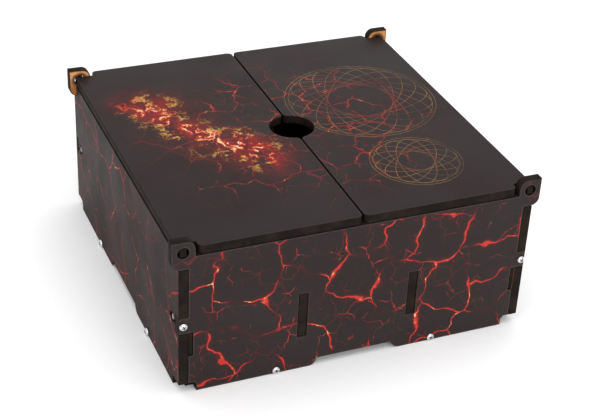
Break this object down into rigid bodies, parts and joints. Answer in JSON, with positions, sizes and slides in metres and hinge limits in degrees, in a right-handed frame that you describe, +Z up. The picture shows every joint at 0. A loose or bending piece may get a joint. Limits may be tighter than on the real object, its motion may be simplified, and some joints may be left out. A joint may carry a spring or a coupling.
{
  "type": "card storage case",
  "caption": "Square low box of slotted board for standing rows of cards, with corner ears that carry two pivoting lid leaves parted in the middle and a shared finger hole",
  "frame": {"origin": "centre of the footprint, on the surface that the case stands on", "axes": "+Z up, front faces -Y, +X to the right along the front, lid pivots parallel to Y"},
  "size_m": [0.2492, 0.2462, 0.1122],
  "materials": {
    "printed_board": "fibreboard with a near-black satin print that shows fine red and orange cracks, burnt brown-black edges and bare tan inner faces",
    "inner_board": "matt near-black fibreboard with burnt brown-black cut edges",
    "steel_hardware": "bright zinc-plated steel"
  },
  "bodies": {
    "case": {"bottom_panel": "inner_board", "front_panel": "printed_board", "left_divider": "inner_board", "left_liner": "inner_board", "left_side_panel": "printed_board", "nut_front_floor_left": "steel_hardware", "nut_front_floor_right": "steel_hardware", "nut_front_tab_left": "steel_hardware", "nut_front_tab_right": "steel_hardware", "nut_left_floor_front": "steel_hardware", "nut_left_floor_rear": "steel_hardware", "nut_rear_floor_left": "steel_hardware", "nut_rear_floor_right": "steel_hardware", "nut_rear_tab_left": "steel_hardware", "nut_rear_tab_right": "steel_hardware", "nut_right_floor_front": "steel_hardware", "nut_right_floor_rear": "steel_hardware", "rear_panel": "printed_board", "right_divider": "inner_board", "right_liner": "inner_board", "right_side_panel": "printed_board", "screw_front_floor_left": "steel_hardware", "screw_front_floor_right": "steel_hardware", "screw_front_tab_left": "steel_hardware", "screw_front_tab_right": "steel_hardware", "screw_left_floor_front": "steel_hardware", "screw_left_floor_rear": "steel_hardware", "screw_rear_floor_left": "steel_hardware", "screw_rear_floor_right": "steel_hardware", "screw_rear_tab_left": "steel_hardware", "screw_rear_tab_right": "steel_hardware", "screw_right_floor_front": "steel_hardware", "screw_right_floor_rear": "steel_hardware"},
    "left_leaf": {"left_lid": "printed_board"},
    "right_leaf": {"right_lid": "printed_board"}
  },
  "joints": [
    {"name": "left_lid_hinge", "type": "hinge", "parent": "case", "child": "left_leaf", "pos_m": [-0.117, 0, 0.1045], "axis": [0, -1, 0], "range_deg": [0, 110]},
    {"name": "right_lid_hinge", "type": "hinge", "parent": "case", "child": "right_leaf", "pos_m": [0.117, 0, 0.1045], "axis": [0, 1, 0], "range_deg": [0, 110]}
  ]
}
